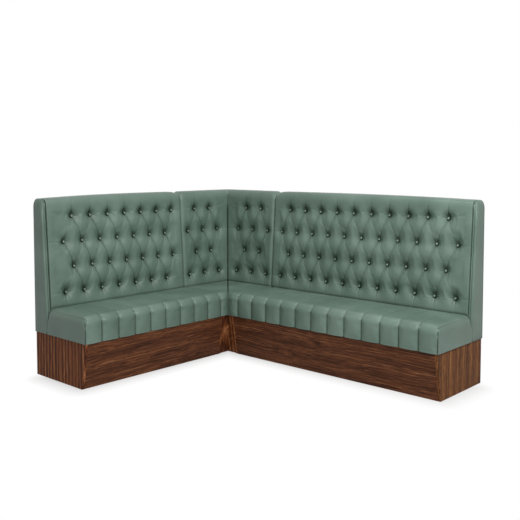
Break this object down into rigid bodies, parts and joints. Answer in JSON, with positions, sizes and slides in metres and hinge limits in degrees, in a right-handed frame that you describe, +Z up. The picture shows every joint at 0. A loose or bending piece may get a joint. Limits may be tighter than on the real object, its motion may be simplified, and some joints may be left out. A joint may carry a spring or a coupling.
{
  "type": "upholstered corner banquette bench",
  "caption": "L-shaped fixed banquette for two walls of a cafe or bar: diamond-buttoned leather backs, fluted leather seats and a walnut plinth with a sloping toe space.",
  "frame": {"origin": "the room corner on the floor, where the planes of the two walls behind the bench meet", "axes": "+X along the long wall, -Y along the short wall, +Z up; the seats face -Y on the long wall and +X on the short wall"},
  "size_m": [2.4, 1.9, 1.23],
  "materials": {
    "leather": "sage green upholstery leather, semi-aniline, soft satin sheen",
    "walnut": "walnut veneer, dark stain, satin lacquer",
    "plywood": "birch plywood, sanded, unfinished",
    "softwood": "planed softwood, unfinished",
    "foam": "cut polyurethane foam",
    "lining_cloth": "black woven lining cloth",
    "zinc_steel": "zinc plated"
  },
  "bodies": {
    "root": {"plinth_front_right": "walnut", "plinth_front_left": "walnut", "plinth_end_right": "walnut", "plinth_end_left": "walnut", "corner_end_board_right": "walnut", "corner_end_board_left": "walnut", "corner_filler_right": "walnut", "corner_filler_left": "walnut", "plinth_rear_rail_right": "plywood", "plinth_rear_rail_left": "plywood", "plinth_ribs_right": "plywood", "plinth_ribs_left": "plywood", "plinth_battens_right": "softwood", "plinth_battens_left": "softwood", "corner_rear_rail_right": "plywood", "corner_rear_rail_left": "plywood", "corner_rib": "plywood", "seat_cover_right": "leather", "seat_cover_left": "leather", "seat_foam_right": "foam", "seat_foam_left": "foam", "seat_board_right": "plywood", "seat_board_left": "plywood", "back_cover_right": "leather", "back_cover_left": "leather", "back_cover_corner_right": "leather", "back_cover_corner_left": "leather", "back_buttons_right": "leather", "back_buttons_left": "leather", "back_buttons_corner": "leather", "back_end_cover_right": "leather", "back_end_cover_left": "leather", "back_foam_right": "foam", "back_foam_left": "foam", "back_foam_corner_right": "foam", "back_foam_corner_left": "foam", "back_board_right": "plywood", "back_board_left": "plywood", "back_board_corner_right": "plywood", "back_board_corner_left": "plywood", "back_bottom_rail_right": "plywood", "back_bottom_rail_left": "plywood", "back_bottom_rail_corner_right": "plywood", "back_bottom_rail_corner_left": "plywood", "back_top_rail_right": "plywood", "back_top_rail_left": "plywood", "back_top_rail_corner_right": "plywood", "back_top_rail_corner_left": "plywood", "back_uprights_right": "plywood", "back_uprights_left": "plywood", "back_uprights_corner": "plywood", "back_corner_post": "softwood", "back_gable_right": "plywood", "back_gable_left": "plywood", "back_lining_right": "lining_cloth", "back_lining_left": "lining_cloth", "back_lining_corner_right": "lining_cloth", "back_lining_corner_left": "lining_cloth", "joint_bolts": "zinc_steel", "joint_nuts": "zinc_steel"}
  },
  "joints": []
}
